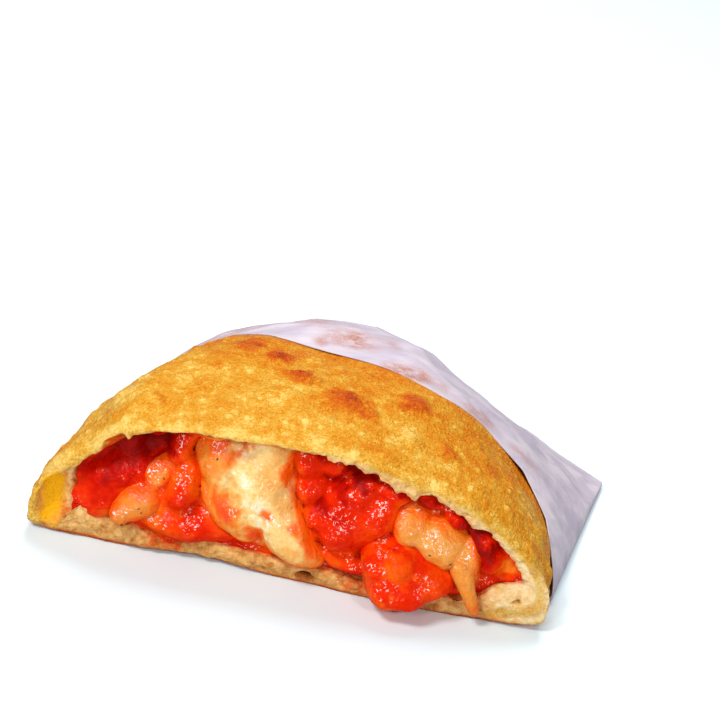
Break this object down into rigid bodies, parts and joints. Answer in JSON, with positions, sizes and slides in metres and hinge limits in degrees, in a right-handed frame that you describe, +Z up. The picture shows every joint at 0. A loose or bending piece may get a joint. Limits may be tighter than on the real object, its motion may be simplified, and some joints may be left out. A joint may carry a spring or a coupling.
{
  "type": "fried pizza half",
  "caption": "Half of a folded fried pizza, cut across to show tomato and melted mozzarella under a blistered crust, in a greaseproof paper sleeve.",
  "frame": {"origin": "middle of the footprint, on the surface that the half lies on", "axes": "+Z up; -Y the way the cut face looks; +X towards the folded edge of the dough"},
  "size_m": [0.1574, 0.1322, 0.0455],
  "materials": {
    "crust": "golden fried dough, browner on its blisters, with a pale crumb at the cut",
    "mozzarella": "glossy melted cheese, stained by tomato at its edges",
    "tomato": "wet crushed tomato",
    "paper": "thin white greaseproof paper, softly creased, with pale brown blotches"
  },
  "bodies": {
    "root": {"crust": "crust", "mozzarella_middle": "mozzarella", "mozzarella_right": "mozzarella", "mozzarella_left": "mozzarella", "mozzarella_bit": "mozzarella", "tomato_front": "tomato", "tomato_middle": "tomato", "tomato_right": "tomato", "tomato_left": "tomato", "tomato_upper": "tomato", "tomato_top": "tomato", "tomato_sauce": "tomato", "paper_sleeve": "paper"}
  },
  "joints": []
}
